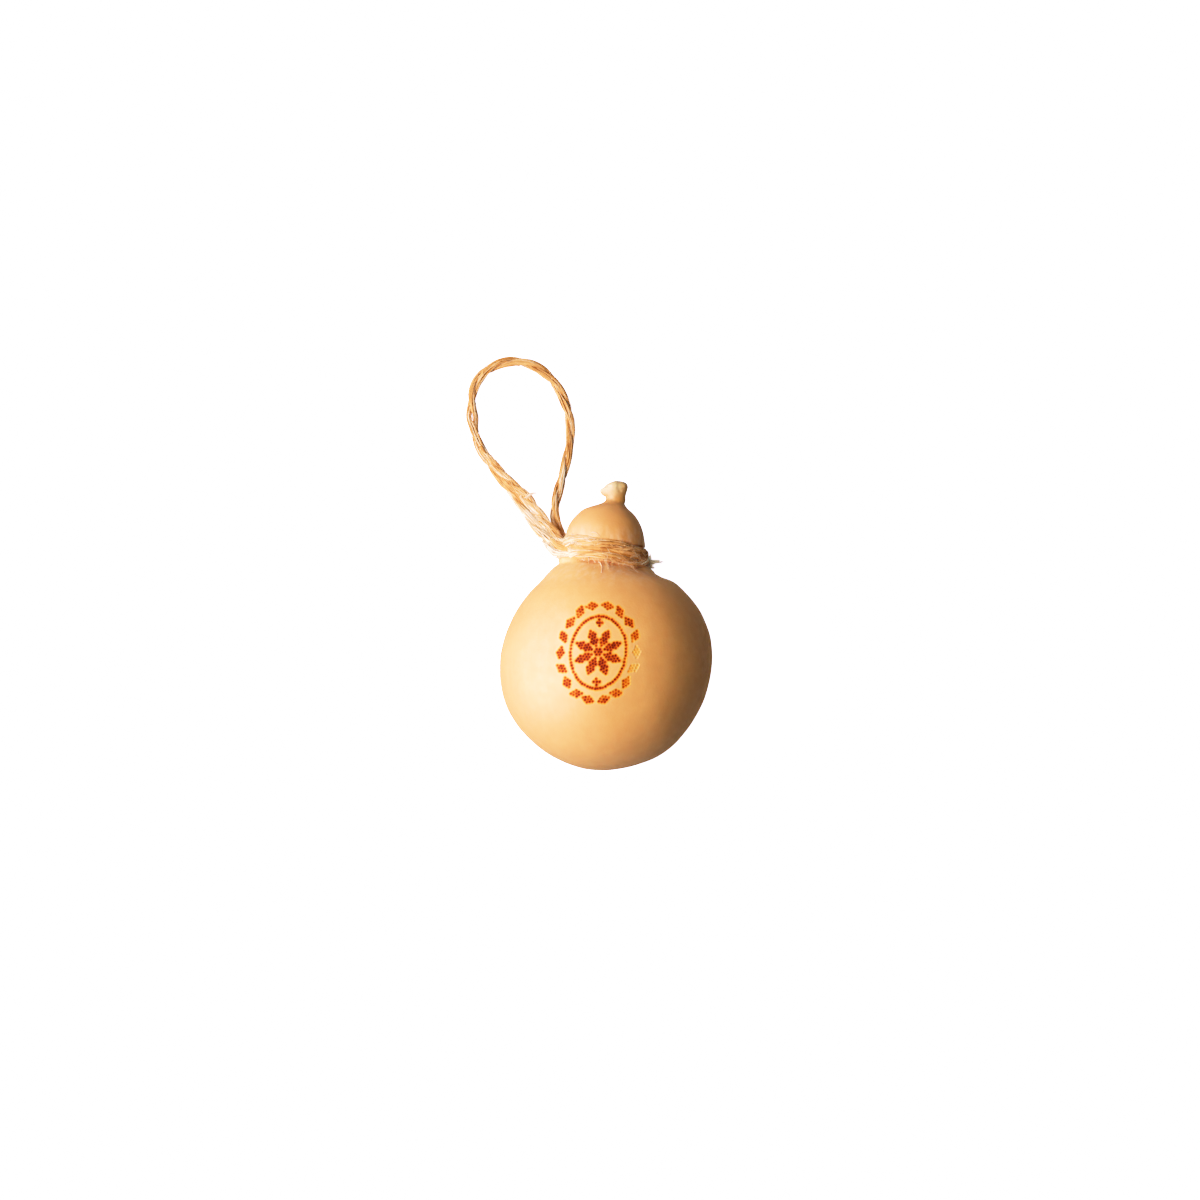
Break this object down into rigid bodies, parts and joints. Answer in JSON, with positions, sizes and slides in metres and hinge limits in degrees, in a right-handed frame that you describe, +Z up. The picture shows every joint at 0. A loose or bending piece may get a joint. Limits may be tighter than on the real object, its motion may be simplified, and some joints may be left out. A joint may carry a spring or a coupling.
{
  "type": "caciocavallo cheese",
  "caption": "Gourd-shaped stretched-curd cheese lying on its back, with a small head and stem, twine wound round its neck and a hanging loop slack beside the head.",
  "frame": {"origin": "middle of the small flat spot that the round body rests on, on the table", "axes": "+Z up out of the shown side, +Y along the cheese towards its head and stem, +X to the right as seen from above"},
  "size_m": [0.1464, 0.2475, 0.1237],
  "materials": {
    "rind": "smooth waxy satin rind, cream to pale amber",
    "twine": "two-ply natural jute, pale straw to tan, frayed"
  },
  "bodies": {
    "root": {"cheese": "rind", "neck_binding": "twine", "tie_knot": "twine", "hanging_loop": "twine", "loop_tail": "twine"}
  },
  "joints": []
}
